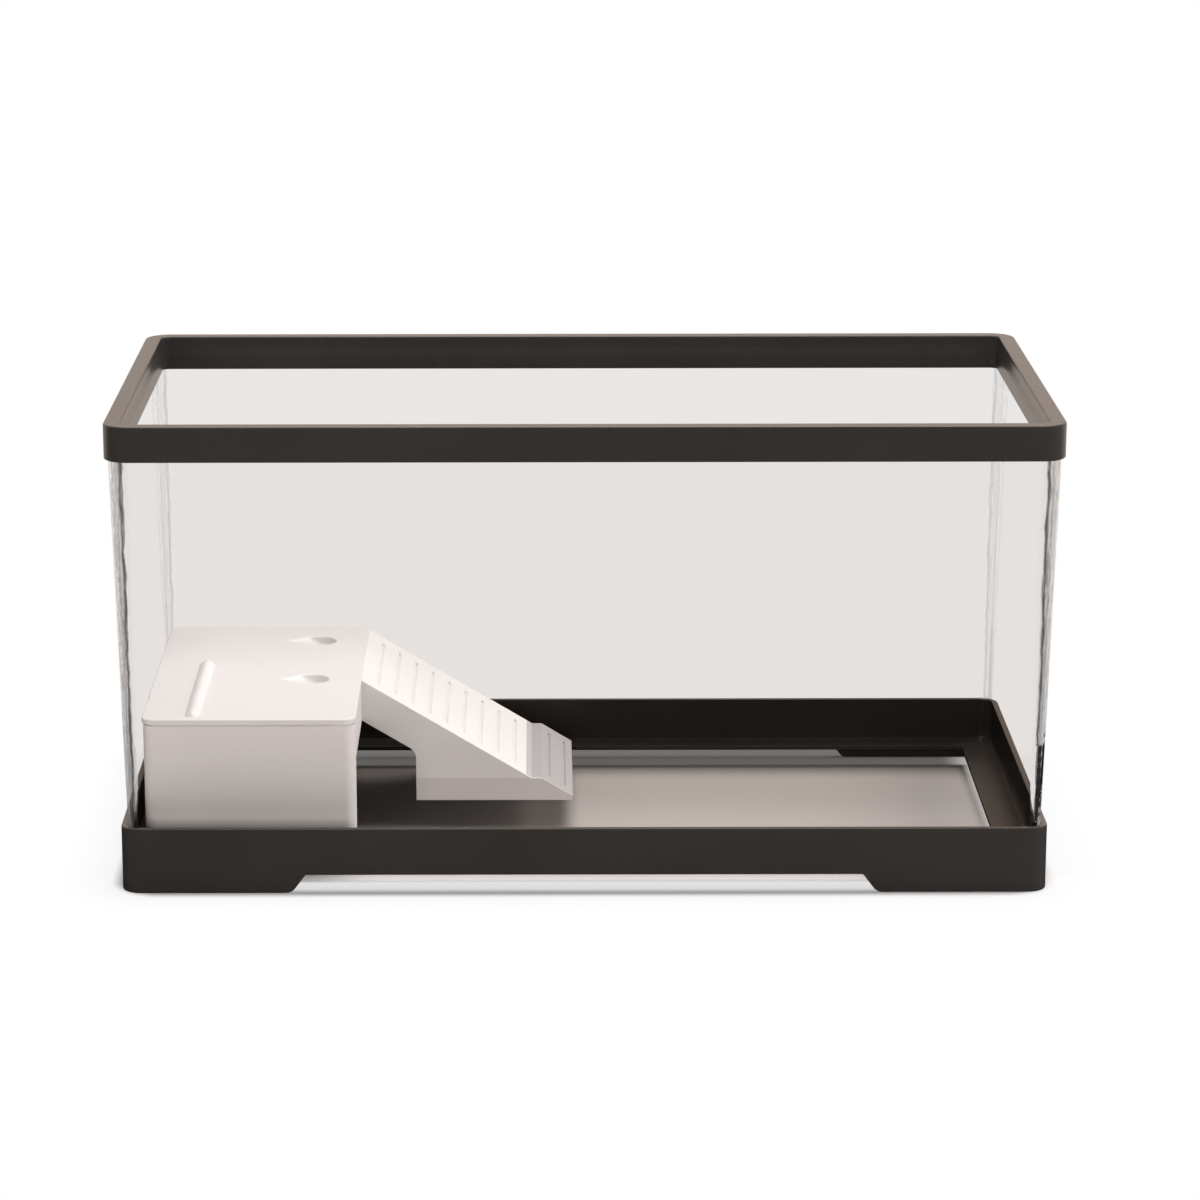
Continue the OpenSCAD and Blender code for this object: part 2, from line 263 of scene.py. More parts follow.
def prism(points, start, end, along="Y"):
    """A scratch solid from (x, z) points that run along Y, or from (y, z) points that run along X."""
    bm = bmesh.new()
    rows = []
    for reach in (start, end):
        if along == "Y":
            rows.append([vert(bm, p, reach, z) for p, z in points])
        else:
            rows.append([vert(bm, reach, p, z) for p, z in points])
    for row in rows:
        bm.faces.new(row)
    skin(bm, rows, across=True)
    return scratch(bm)


def box(x0, y0, z0, x1, y1, z1):
    """A scratch solid with flat sides."""
    return prism([(x0, z0), (x1, z0), (x1, z1), (x0, z1)], y0, y1)


def boolean(target, tool, operation):
    """Applies a boolean of two scratch objects to the first one's mesh and deletes the second."""
    m = target.modifiers.new("cut", "BOOLEAN")
    m.operation = operation
    m.object = tool
    m.solver = "EXACT"
    m.use_hole_tolerant = False
    now = bpy.context.evaluated_depsgraph_get()
    mesh = bpy.data.meshes.new_from_object(target.evaluated_get(now))
    target.modifiers.clear()
    old = target.data
    target.data = mesh
    bpy.data.meshes.remove(old)
    remove(tool)


def cut(target, tool):
    boolean(target, tool, "DIFFERENCE")


def fuse(target, tool):
    boolean(target, tool, "UNION")


def join(objects):
    """Puts the meshes of scratch objects into the first one, as they are."""
    target = objects[0]
    bm = bmesh.new()
    for obj in objects:
        bm.from_mesh(obj.data)
    bm.to_mesh(target.data)
    bm.free()
    for obj in objects[1:]:
        remove(obj)
    return target


# Shader helpers. The three numbers are a Mix node's sockets for colours
MIX_A, MIX_B, MIX_RESULT = 6, 7, 2


def new_material(name):
    """A material and its empty node tree."""
    mat = bpy.data.materials.new(name)
    mat.use_nodes = True
    mat.node_tree.nodes.clear()
    return mat, mat.node_tree


def put(nt, socket, value):
    """Links value to a node's input if it is another node's output, and otherwise sets it there."""
    if isinstance(value, bpy.types.NodeSocket):
        nt.links.new(value, socket)
    else:
        socket.default_value = value


def add(nt, kind, **inputs):
    """A new node with its inputs set or linked. An input's name has _ for each space."""
    n = nt.nodes.new(kind)
    for name, value in inputs.items():
        put(nt, n.inputs[name.replace("_", " ")], value)
    return n


def shader(nt, kind, **inputs):
    """The shader that a new node gives."""
    return add(nt, kind, **inputs).outputs[0]


def to_surface(nt, kind, result):
    """Makes a shader the material's or the world's own."""
    add(nt, kind, Surface=result)


def object_place(nt):
    """Place on the object, in m."""
    return nt.nodes.new("ShaderNodeTexCoord").outputs["Object"]


def light_path(nt):
    return nt.nodes.new("ShaderNodeLightPath").outputs


def split(nt, value):
    """The X, Y and Z of a vector."""
    return add(nt, "ShaderNodeSeparateXYZ", Vector=value).outputs


def noise(nt, co, scale, detail):
    return add(nt, "ShaderNodeTexNoise", Vector=co, Scale=scale, Detail=detail).outputs["Fac"]


def maths(nt, operation, a, b=None):
    """What a Math node gives for numbers or outputs."""
    n = nt.nodes.new("ShaderNodeMath")
    n.operation = operation
    put(nt, n.inputs[0], a)
    if b is not None:
        put(nt, n.inputs[1], b)
    return n.outputs[0]


def both(nt, a, b):
    return maths(nt, "MULTIPLY", a, b)


def above(nt, value, limit):
    """1 where value is over limit mm, 0 elsewhere."""
    return maths(nt, "GREATER_THAN", value, limit * MM)


def below(nt, value, limit):
    """1 where value is under limit mm, 0 elsewhere."""
    return maths(nt, "LESS_THAN", value, limit * MM)


def vector(nt, operation, a, b=None, out="Vector"):
    """What a Vector Math node gives. For SCALE b is a number."""
    n = nt.nodes.new("ShaderNodeVectorMath")
    n.operation = operation
    put(nt, n.inputs[0], a)
    if b is not None:
        put(nt, n.inputs["Scale" if operation == "SCALE" else 1], b)
    return n.outputs[out]


def outside(nt, co, half_x, half_y):
    """How far a place is outside an upright box about the origin, as a vector in m."""
    return vector(nt, "SUBTRACT", vector(nt, "ABSOLUTE", co), (half_x * MM, half_y * MM, 0.0))


def distance(nt, beyond):
    """Length of what outside gives, 0 in the box."""
    return vector(nt, "LENGTH", vector(nt, "MAXIMUM", beyond, (0.0, 0.0, 0.0)), out="Value")


def spread(nt, value, low, high):
    """A noise spread from low to high."""
    n = add(nt, "ShaderNodeMapRange", Value=value, From_Min=NOISE_LOW, From_Max=NOISE_HIGH,
            To_Min=low, To_Max=high)
    return n.outputs["Result"]


def soft_step(nt, value, start, end, low=0.0, high=1.0, unit=MM):
    """A smooth run from low at start to high at end."""
    n = nt.nodes.new("ShaderNodeMapRange")
    n.interpolation_type = "SMOOTHSTEP"
    limits = (start * unit, end * unit, low, high)
    for name, limit in zip(("From Min", "From Max", "To Min", "To Max"), limits):
        n.inputs[name].default_value = limit
    nt.links.new(value, n.inputs["Value"])
    return n.outputs["Result"]


def colour_ramp(nt, value, stops):
    """Colours at places from 0 to 1, and their mixtures between them."""
    n = add(nt, "ShaderNodeValToRGB", Fac=value)
    elements = n.color_ramp.elements
    for element, (at, colour) in zip(elements, (stops[0], stops[-1])):
        element.position = at
        element.color = colour + (1,)
    for at, colour in stops[1:-1]:
        elements.new(at).color = colour + (1,)
    return n.outputs["Color"]


def grey_ramp(nt, value, levels):
    return colour_ramp(nt, value, [(at, (level, level, level)) for at, level in levels])


def mottled(nt, value, tones):
    """Two tones mixed by a noise."""
    return colour_ramp(nt, value, [(NOISE_LOW, tones[0]), (NOISE_HIGH, tones[1])])


def mix_colours(nt, how, share, a, b):
    """Colour a where share is 0, and where it is 1 its mixture with colour b, in the way that how names."""
    n = nt.nodes.new("ShaderNodeMix")
    n.data_type = "RGBA"
    n.blend_type = how
    put(nt, n.inputs[0], share)
    put(nt, n.inputs[MIX_A], a)
    put(nt, n.inputs[MIX_B], b)
    return n.outputs[MIX_RESULT]


def shaded(nt, colour, mask, shade):
    """The colour times shade where mask is 1."""
    return mix_colours(nt, "MULTIPLY", mask, colour, shade + (1,))


def blend(nt, share, a, b):
    """Shader a where share is 0, and b where it is 1."""
    n = nt.nodes.new("ShaderNodeMixShader")
    for socket, value in zip(n.inputs, (share, a, b)):
        nt.links.new(value, socket)
    return n.outputs["Shader"]


# Materials
def black_plastic():
    """Charcoal moulded plastic: faint flow marks, a fine moulded grain and a soft shine."""
    mat, nt = new_material("black_plastic_moulded")
    co = object_place(nt)
    grain = noise(nt, co, scale=900, detail=2)
    bump = add(nt, "ShaderNodeBump", Strength=0.12, Distance=0.04 * MM, Height=grain)
    to_surface(nt, "ShaderNodeOutputMaterial", shader(
        nt, "ShaderNodeBsdfPrincipled",
        Base_Color=mottled(nt, noise(nt, co, scale=18, detail=3), BLACK_TONES),
        Roughness=spread(nt, grain, 0.30, 0.38),
        IOR=PLASTIC_IOR,
        Specular_IOR_Level=0.42,
        Normal=bump.outputs["Normal"],
    ))
    return mat


# Where the white plastic is darker, and where shade is painted in its recesses. The plain numbers are margins
# in mm
def block_mask(nt, where):
    """1 on the ramp's lower block, 0 elsewhere."""
    low = below(nt, where["Z"], FLOOR_Z + LANDING_H + 0.15)
    return both(nt, low, above(nt, where["X"], DECK_X1 + 12))


def toe_mask(nt, where):
    """1 on the ramp's end apart from its front side, 0 elsewhere."""
    low = below(nt, where["Z"], FLOOR_Z + LANDING_H + 1.5)
    low = both(nt, low, above(nt, where["X"], DECK_X1 + RAMP_RUN - 3))
    return both(nt, low, above(nt, where["Y"], RAMP_Y0 + 1.2))


def recess_painted_shade_mask(nt, where):
    """Where shade is painted: 1 in the right ends and along the back sides of the deck's recesses, where
    their walls face away from the light, 0 elsewhere.
    """
    y0 = DECK_Y0 + DROP_FIRST - DROP_PITCH / 2
    across = maths(nt, "MODULO", maths(nt, "SUBTRACT", where["Y"], y0 * MM), DROP_PITCH * MM)
    across = maths(nt, "SUBTRACT", across, DROP_PITCH / 2 * MM)
    sunk = soft_step(nt, where["Z"], DECK_Z - 0.05, DECK_Z - 0.5)
    sunk = both(nt, sunk, above(nt, where["Z"], DECK_Z - 2.5))
    along = maths(nt, "ADD", where["X"], maths(nt, "MULTIPLY", across, 1.4))
    right = soft_step(nt, along, DROP_X + 1, DROP_X + 8)
    inside = below(nt, where["X"], DROP_X + DROP_R + 0.5)
    inside = both(nt, inside, below(nt, maths(nt, "ABSOLUTE", across), DROP_R + 0.3))
    inside = both(nt, inside, above(nt, where["Y"], y0))
    return both(nt, sunk, both(nt, right, inside))


def white_plastic():
    """Warm white moulded plastic with a satin skin and soft edges. It is darker on the ramp's lower block,
    more so on the ramp's end, and a shade is painted in part of each recess."""
    mat, nt = new_material("white_plastic_moulded")
    co = object_place(nt)
    where = split(nt, co)
    colour = mottled(nt, noise(nt, co, scale=22, detail=3), WHITE_TONES)
    colour = shaded(nt, colour, block_mask(nt, where), BLOCK_SHADE)
    colour = shaded(nt, colour, toe_mask(nt, where), TOE_SHADE)
    colour = shaded(nt, colour, recess_painted_shade_mask(nt, where), RECESS_PAINTED_SHADE)
    grain = noise(nt, co, scale=1200, detail=2)
    soft = add(nt, "ShaderNodeBevel", Radius=0.3 * MM)
    soft.samples = 4
    bump = add(nt, "ShaderNodeBump", Strength=0.10, Distance=0.03 * MM, Height=grain,
               Normal=soft.outputs["Normal"])
    to_surface(nt, "ShaderNodeOutputMaterial", shader(
        nt, "ShaderNodeBsdfPrincipled",
        Base_Color=colour,
        Roughness=spread(nt, grain, 0.42, 0.52),
        IOR=PLASTIC_IOR,
        Specular_IOR_Level=0.3,
        Normal=bump.outputs["Normal"],
    ))
    return mat


def fade_back(nt, co, rest):
    """1 in the tank's front half, falling to rest at its back."""
    return soft_step(nt, split(nt, co)["Y"], 0, 50, 1.0, rest)


def corner_beads(nt, co):
    """Normals that ripple up the tank's rounded corners, less at the back."""
    turns = maths(nt, "MULTIPLY", split(nt, co)["Z"], 2 * math.pi / (BEAD_PITCH * MM))
    uneven = noise(nt, vector(nt, "MULTIPLY", co, (1.0, 1.0, 0.35)), scale=260, detail=1)
    height = maths(nt, "ADD", maths(nt, "SINE", turns), maths(nt, "MULTIPLY", uneven, 6.0))
    bump = add(nt, "ShaderNodeBump", Distance=BEAD_RISE * MM, Strength=fade_back(nt, co, 0.15), Height=height)
    return bump.outputs["Normal"]


def painted_corner_streaks(nt, co, across):
    """Painted reflections in the rounded corners' tint: a dark wavy line, then softer ones, all fainter at
    the back, stand in for the dark rim and frame seen bent and mirrored in the corners. across is 0 where the
    corner starts and 1 at its outside."""
    waver = noise(nt, vector(nt, "MULTIPLY", co, (1.0, 1.0, 0.3)), scale=320, detail=2)
    at = maths(nt, "ADD", across, spread(nt, waver, -0.08, 0.08))
    levels = [(0.0, 1.0), (0.28, 1.0), (0.33, 0.22), (0.41, 0.30), (0.47, 0.95)]
    levels += [(0.60, 0.62), (0.70, 0.97), (0.84, 0.52), (0.92, 0.92), (1.0, 0.55)]
    strength = fade_back(nt, co, 0.2)
    streaks = shaded(nt, grey_ramp(nt, at, levels), strength, WALL_TINT[:3])
    return mix_colours(nt, "MIX", strength, WALL_TINT, streaks)


def glass_share(nt, co):
    """How much the rounded corners bend light: wholly low at the open end, least at the back."""
    where = split(nt, co)
    low = both(nt, below(nt, where["Z"], 64), above(nt, where["X"], 0))
    share = maths(nt, "ADD", maths(nt, "MULTIPLY", low, 1.0 - GLASS_SHARE), GLASS_SHARE)
    return both(nt, share, fade_back(nt, co, 0.25))


def clear_plastic():
    """Clear moulded plastic. Its rounded corners bend light, its flat walls don't, and lamps shine
    through it."""
    mat, nt = new_material("clear_plastic_moulded")
    co = object_place(nt)
    beyond = split(nt, outside(nt, co, CORNER_X, CORNER_Y))
    in_corner = both(nt, above(nt, beyond["X"], 0), above(nt, beyond["Y"], 0))
    width = maths(nt, "ADD", maths(nt, "MULTIPLY", split(nt, co)["Z"], LEAN), tank_r(0.0) * MM)
    # The corners' tint carries painted dark streaks that stand in for the rim and frame seen bent and
    # mirrored in them
    tint = painted_corner_streaks(nt, co, maths(nt, "DIVIDE", beyond["X"], width))
    glass = shader(
        nt, "ShaderNodeBsdfPrincipled",
        Base_Color=tint,
        Roughness=0.0,
        IOR=GLASS_IOR,
        Specular_IOR_Level=0.15,
        Transmission_Weight=1.0,
        Normal=corner_beads(nt, co),
    )
    corner = blend(nt, glass_share(nt, co), shader(nt, "ShaderNodeBsdfTransparent", Color=tint), glass)
    wall = shader(nt, "ShaderNodeBsdfTransparent", Color=WALL_TINT)
    rays = light_path(nt)
    lighting = maths(nt, "MAXIMUM", rays["Is Shadow Ray"], rays["Is Diffuse Ray"])
    lit = shader(nt, "ShaderNodeBsdfTransparent", Color=LAMP_TINT)
    to_surface(nt, "ShaderNodeOutputMaterial", blend(nt, lighting, blend(nt, in_corner, wall, corner), lit))
    return mat


BLACK = black_plastic()
WHITE = white_plastic()
CLEAR = clear_plastic()


# The clear tank
def make_tank():
    """A box with leaning walls, whose edges along the floor are round outside and inside."""
    back = LEAN - math.sqrt(1 + LEAN * LEAN)
    top_r, e = tank_r(TANK_TOP_Z), 0.4
    section = [(0.0, TANK_Z)]
    section += arc(TANK_CORNER_R + BOTTOM_EDGE_R * back, TANK_Z + BOTTOM_EDGE_R,
                   BOTTOM_EDGE_R, -90, -WALL_DRAFT, 14)
    section += arc(top_r - e, TANK_TOP_Z - e, e, 0, 90, 4)
    section += arc(top_r - WALL_T + e, TANK_TOP_Z - e, e, 90, 180, 4)
    section += arc(INNER_R + FLOOR_EDGE_R * back, FLOOR_Z + FLOOR_EDGE_R,
                   FLOOR_EDGE_R, -WALL_DRAFT, -90, 10)
    section += [(0.0, FLOOR_Z)]
    bm = solid_of(corner_path(CORNER_X, CORNER_Y, TANK_STEPS), section)
    return to_object(bm, "clear_tank", CLEAR)


# The top rim
def make_rim():
    """An upside-down channel. Its inside swells to a step under the top face."""
    e, skirt_e, inner_e = RIM_EDGE_R, 0.45, 0.2
    low_x = RIM_IN_R - RIM_STEP_W + inner_e
    section = [(low_x, RIM_Z), (RIM_SLOT_IN_R, RIM_Z), (RIM_SLOT_IN_R, TANK_TOP_Z)]
    section += [(SLOT_R, TANK_TOP_Z), (SLOT_R, RIM_Z)]
    section += arc(RIM_R - skirt_e, RIM_Z + skirt_e, skirt_e, -90, 0, 5)
    section += arc(RIM_R - e, OVERALL_H - e, e, 0, 90, 8)
    section += arc(RIM_IN_R + e, OVERALL_H - e, e, 90, 180, 8)
    for k in range(9):
        swell = RIM_STEP_W / 2 * (1 - math.cos(math.pi * k / 8))
        section.append((RIM_IN_R - swell, OVERALL_H - RIM_STEP_TOP - RIM_STEP_H * k / 8))
    section += arc(low_x, RIM_Z + inner_e, inner_e, 180, 270, 3)[:-1]
    path = corner_path(CORNER_X, CORNER_Y, TANK_STEPS)
    return to_object(swept(path, [section] * len(path)), "black_rim", BLACK)


# The base frame
def gap_shape(half):
    """Where the gap between two feet ends, and the place and height where its slope meets its round end.
    half is half of the gap's high part."""
    slope, r = math.radians(FOOT_SLOPE), FOOT_END_R
    end = half + FOOT_H * math.tan(slope) + r * math.tan(math.pi / 4 - slope / 2)
    return end, end - r * math.cos(slope), r - r * math.sin(slope)


def gap_height(t, half):
    """Height of the gap between two feet at distance t from the middle of a side."""
    end, meet, meet_z = gap_shape(half)
    if t <= half:
        return FOOT_H
    if t >= end:
        return 0.0
    if t <= meet:
        return FOOT_H + (meet_z - FOOT_H) * (t - half) / (meet - half)
    return FOOT_END_R - math.sqrt(max(0.0, FOOT_END_R ** 2 - (end - t) ** 2))


def gap_stations(half):
    """Distances from the middle of a side at which the gap's shape needs a station, both ways. turns are
    the angles of those on the round end."""
    end, meet = gap_shape(half)[:2]
    out = [half - 6, half - 1, half]
    out += [half + (meet - half) * k / 4 for k in (1, 2, 3)]
    turns = (FOOT_SLOPE, 43, 50, 57, 64, 71, 78, 84, 90)
    out += [end - FOOT_END_R * math.cos(math.radians(a)) for a in turns]
    return sorted([-t for t in out] + out)


def frame_stations():
    """Stations round the frame's wall, each with the height that the wall starts at."""
    half_x, half_y = FRAME_X - FOOT_LEN_X, FRAME_Y - FOOT_LEN_Y
    corners = corner_path(CORNER_X, CORNER_Y, FRAME_STEPS)
    out = []
    for k in range(4):
        first = k * (FRAME_STEPS + 1)
        corner = corners[first:first + FRAME_STEPS + 1]
        out += [(station, 0.0) for station in corner]
        x, y, a = corner[-1]
        half = half_x if k in (0, 2) else half_y
        side = gap_stations(half)
        if k in (0, 1):
            side.reverse()
        for t in side:
            station = (t, y, a) if k in (0, 2) else (x, t, a)
            out.append((station, gap_height(abs(t), half)))
    return out


def wall_section(low):
    """Section of the frame's wall from the height low up, with round edges."""
    e, low_e, high_e = FRAME_EDGE_R, 0.3, 0.25
    section = arc(FRAME_IN_R + low_e, low + low_e, low_e, 180, 270, 3)
    section += arc(FRAME_R - e, low + e, e, -90, 0, 5)
    section += arc(FRAME_R - e, FRAME_H - e, e, 0, 90, 6)
    section += arc(FRAME_IN_R + high_e, FRAME_H - high_e, high_e, 90, 180, 3)
    return section


def make_ledge():
    """A flat ring that runs a little into the frame's wall and has its inner edges rounded."""
    z0, z1, e = FOOT_H, FOOT_H + LEDGE_T, 0.3
    outer_r = FRAME_IN_R + 0.6
    outer = corner_path(CORNER_X, CORNER_Y, LEDGE_STEPS)
    inset = LEDGE_W + LEDGE_CORNER_R
    inner = corner_path(FRAME_X - inset, FRAME_Y - inset, LEDGE_STEPS)
    edge = [(e, z1), (0.3 * e, z1 - 0.3 * e), (0.0, z1 - e)]
    edge += [(0.0, z0 + e), (0.3 * e, z0 + 0.3 * e), (e, z0)]
    bm = bmesh.new()
    rings = [
        ring(bm, wide, [(outer_r, z0), (outer_r, z1)])
        + ring(bm, narrow, [(LEDGE_CORNER_R + d, z) for d, z in edge])
        for wide, narrow in zip(outer, inner)
    ]
    skin(bm, rings, across=True, along=True)
    return scratch(bm)


def make_frame():
    stations = frame_stations()
    bm = swept([station for station, low in stations], [wall_section(low) for station, low in stations])
    return join([to_object(bm, "black_frame", BLACK), make_ledge()])


# The basking platform
def deck_path(steps, right=0.0):
    """Path round the deck's corners, with its right side moved in by right."""
    x1, y1 = DECK_X1 - right - DECK_R, DECK_Y1 - DECK_R
    return corner_path(x1, y1, steps, DECK_X0 + DECK_R, DECK_Y0 + DECK_R)


def slab(path, section):
    """A scratch solid whose section runs from its bottom's edge to its top's."""
    return scratch(solid_of(path, [(0.0, section[0][1])] + section + [(0.0, section[-1][1])]))


def deck_lip():
    """The deck's top with its overhanging, rounded edge."""
    z, under, over = DECK_Z - LIP_H, 0.3, 0.4
    section = [(DECK_R - under, z)]
    section += arc(DECK_R + LIP_W - under, z + under, under, -90, 0, 3)
    section += arc(DECK_R + LIP_W - over, DECK_Z - over, over, 0, 90, 6)
    return slab(deck_path(DECK_STEPS, LIP_W), section)


def edge_line():
    """A ring that cuts a thin line into the walls under the deck's edge."""
    r0, r1 = DECK_R - EDGE_LINE_D, DECK_R + 0.3
    z1 = DECK_Z - LIP_H
    z0 = z1 - EDGE_LINE_H
    path = deck_path(DECK_STEPS)
    return scratch(swept(path, [[(r0, z0), (r1, z0), (r1, z1), (r0, z1)]] * len(path)))


def shelter():
    """The deck on its walls, open below, at the right and at the back's right."""
    body = slab(deck_path(DECK_STEPS), [(DECK_R, FLOOR_Z), (DECK_R, DECK_Z - 1.0)])
    fuse(body, deck_lip())
    cut(body, edge_line())
    inner_r, low = DECK_R - SHELL_T, FLOOR_Z - CUT
    cut(body, slab(deck_path(SHELL_STEPS), [(inner_r, low), (inner_r, DECK_Z - DECK_T)]))
    x1, y1 = DECK_X1 + CUT, DECK_Y1 + CUT
    cut(body, box(DECK_X1 - DECK_R, DECK_Y0 + DECK_R, low, x1, y1, DOOR_Z))
    cut(body, box(DECK_X1 - BACK_OPEN_W, DECK_Y1 - DECK_R, low, x1, y1, DOOR_Z))
    notch_y = DECK_Y0 + NOTCH_AT - NOTCH_L / 2
    cut(body, box(DECK_X0 - LIP_W - CUT, notch_y, DECK_Z - LIP_H, DECK_X0, notch_y + NOTCH_L, DECK_Z + CUT))
    return body


def from_deck(points):
    """Points given from the foot of the deck's right side, as places in the scene."""
    return [(x + DECK_X1, z + FLOOR_Z) for x, z in points]


def ramp_top():
    """The ramp's sloping sheet with its landing and its end."""
    x0 = 0.5 - SHELL_T
    drop = RAMP_T / math.cos(SLOPE)
    over = [(x0, DECK_H - DECK_T), (x0, DECK_H - DECK_T / 2), (0, DECK_H), (RAMP_RUN, LANDING_H)]
    over += [(LANDING_END, LANDING_H), (RAMP_L, TOE_H), (RAMP_L, 0)]
    under = [(RAMP_L - drop, 0), (RAMP_L - drop, TOE_H), (LANDING_END, LANDING_H - drop)]
    under += [(RAMP_RUN, LANDING_H - drop), (0, DECK_H - DECK_T)]
    return prism(from_deck(over + under), RAMP_Y0, RAMP_Y1)


def ramp_side(y):
    """One of the ramp's two sides, with an arch at the deck's end."""
    top = DECK_H - BAND_H
    arch_z = top - ARCH_W * FALL + ARCH_R * (FALL - 1 / math.cos(SLOPE))
    points = [(0, DECK_H), (RAMP_RUN, LANDING_H), (LANDING_END, LANDING_H)]
    points += [(RAMP_L, TOE_H), (RAMP_L, 0), (ARCH_W, 0)]
    points += arc(ARCH_W - ARCH_R, arch_z, ARCH_R, 0, 90 - RAMP_SLOPE, 12)
    points += [(0, top)]
    return prism(from_deck(points), y, y + SHELL_T)


def groove(x, z, along, wide, deep):
    """A cutter for one groove across the slope, along mm on from the place x, z on it."""
    x, z, half = x + along, z - along * FALL, wide / 2
    profile = [(-half - 0.2, 0.3), (-half / 2, -deep), (half / 2, -deep), (half + 0.2, 0.3)]
    ca, sa = math.cos(SLOPE), math.sin(SLOPE)
    points = [(x + px * ca + pz * sa, z - px * sa + pz * ca) for px, pz in profile]
    return prism(points, RAMP_Y0 + GROOVE_INSET, RAMP_Y1 - GROOVE_INSET)


def plinth_cutter(y, out):
    """Cuts the ramp's lower block so that its side leans in. out is -1 in front and 1 at the back."""
    profile = [(out * CUT, LANDING_H), (0, LANDING_H), (-out * PLINTH_IN, 0)]
    profile += [(-out * PLINTH_IN, -CUT), (out * CUT, -CUT)]
    points = [(y + py, FLOOR_Z + pz) for py, pz in profile]
    return prism(points, DECK_X1 + ARCH_W - CUT, DECK_X1 + RAMP_L + CUT, "X")


def make_ramp():
    walk = ramp_top()
    for y in (RAMP_Y0, RAMP_Y1 - SHELL_T):
        fuse(walk, ramp_side(y))
    comb = []
    for i in range(TREAD_COUNT):
        comb.append(groove(DECK_X1, DECK_Z, TREAD_FIRST + i * TREAD_PITCH, GROOVE_W, GROOVE_D))
    toe_x, toe_z, toe_pitch = DECK_X1 + LANDING_END, FLOOR_Z + LANDING_H, TOE_RUN / TOE_TREAD_COUNT
    for i in range(TOE_TREAD_COUNT):
        comb.append(groove(toe_x, toe_z, (i + 0.5) * toe_pitch, TOE_GROOVE_W, TOE_GROOVE_D))
    cut(walk, join(comb))
    cut(walk, plinth_cutter(RAMP_Y0, -1))
    cut(walk, plinth_cutter(RAMP_Y1, 1))
    return walk


def drop_height(along, across):
    """Height over the deck of a ball and of the cone that runs from it to a point in the deck, DROP_NECK
    away."""
    a = along + DROP_NECK
    spare = BALL_R ** 2 - DROP_NECK ** 2
    k = BALL_RISE ** 2 - spare
    c = a * a + across * across
    root = (a * DROP_NECK * k) ** 2 + spare * k * (BALL_RISE ** 2 * c + (a * DROP_NECK) ** 2)
    t = min(1.0, (math.sqrt(root) - a * DROP_NECK * k) / (spare * k))
    inside = (t * BALL_R) ** 2 - (a - t * DROP_NECK) ** 2 - across * across
    return t * BALL_RISE - math.sqrt(max(0.0, inside))


def drop_half_width(along):
    """Half the width of a recess's outline: straight from its point, then round."""
    tangent = math.asin(DROP_R / DROP_NECK)
    if along < -DROP_R * math.sin(tangent):
        return max(0.0, along + DROP_NECK) * math.tan(tangent)
    return math.sqrt(max(0.0, DROP_R ** 2 - along * along))


def drop_cutter(x, y):
    """One closed solid in the shape of a drop-shaped recess, a little wider than it over the deck."""
    steps, half_steps, margin, end_z, lid = 60, 12, 0.35, 0.2, 1.5
    stations = [DROP_L * i / steps - DROP_NECK for i in range(steps + 1)]
    stations = [-DROP_NECK - margin] + stations + [DROP_R + margin]
    bm = bmesh.new()
    low, high = [], []
    for u in stations:
        at_end = u in (stations[0], stations[-1])
        under, over = [], []
        for j in range(-half_steps, half_steps + 1):
            v = (drop_half_width(u) + margin) * j / half_steps
            height = end_z if at_end else min(drop_height(u, v), lid - 0.2)
            under.append(vert(bm, x + u, y + v, DECK_Z + height))
            over.append(vert(bm, x + u, y + v, DECK_Z + lid))
        low.append(under)
        high.append(over)
    skin(bm, low)
    skin(bm, high)
    for j in (0, -1):
        skin(bm, [[row[j] for row in low], [row[j] for row in high]])
        skin(bm, [low[j], high[j]])
    return scratch(bm)


def raised_bar():
    """A low round ridge with round ends, which reaches down into the deck."""
    steps, sink, bend = 8, 0.02, 0.8
    half, x, y0 = BAR_W / 2, DECK_X0 + BAR_AT, DECK_Y0 + BAR_FIRST
    turns = [math.radians(a) for a in range(0, 91, 9)]
    stations = [(y0 + half - half * math.cos(a), math.sin(a)) for a in turns]
    stations += [(2 * y0 + BAR_L - y, share) for y, share in reversed(stations)]
    bm = bmesh.new()
    rows = []
    for y, share in stations:
        row = []
        for j in range(-steps, steps + 1):
            t = j / steps
            height = BAR_H * (math.cos(t * math.pi / 2) * share) ** bend
            row.append(vert(bm, x + t * half * share, y, DECK_Z - sink + height))
        rows.append(row)
    skin(bm, rows)
    bmesh.ops.remove_doubles(bm, verts=bm.verts, dist=1e-8)
    border = [e for e in bm.edges if len(e.link_faces) == 1]
    lowered = bmesh.ops.extrude_edge_only(bm, edges=border)["geom"]
    for v in lowered:
        if isinstance(v, bmesh.types.BMVert):
            v.co.z -= CUT * MM
    open_edges = [e for e in bm.edges if len(e.link_faces) == 1]
    bmesh.ops.holes_fill(bm, edges=open_edges, sides=0)
    return scratch(bm)


def make_platform():
    """The shelter and its ramp as one moulding, with two recesses and a raised bar on the deck."""
    body = shelter()
    fuse(body, make_ramp())
    for k in range(2):
        cut(body, drop_cutter(DROP_X, DECK_Y0 + DROP_FIRST + k * DROP_PITCH))
    fuse(body, raised_bar())
    bm = bmesh.new()
    bm.from_mesh(body.data)
    remove(body)
    bmesh.ops.remove_doubles(bm, verts=bm.verts, dist=2e-6)
    return to_object(bm, "white_platform", WHITE, sharp=24)


pieces = (
    (make_tank(), "tank", "clear_plastic"),
    (make_rim(), "top_rim", "black_plastic"),
    (make_frame(), "base_frame", "black_plastic"),
    (make_platform(), "basking_platform", "white_plastic"),
)
for piece, cad, slot in pieces:
    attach(piece, "root")
    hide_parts(cad)


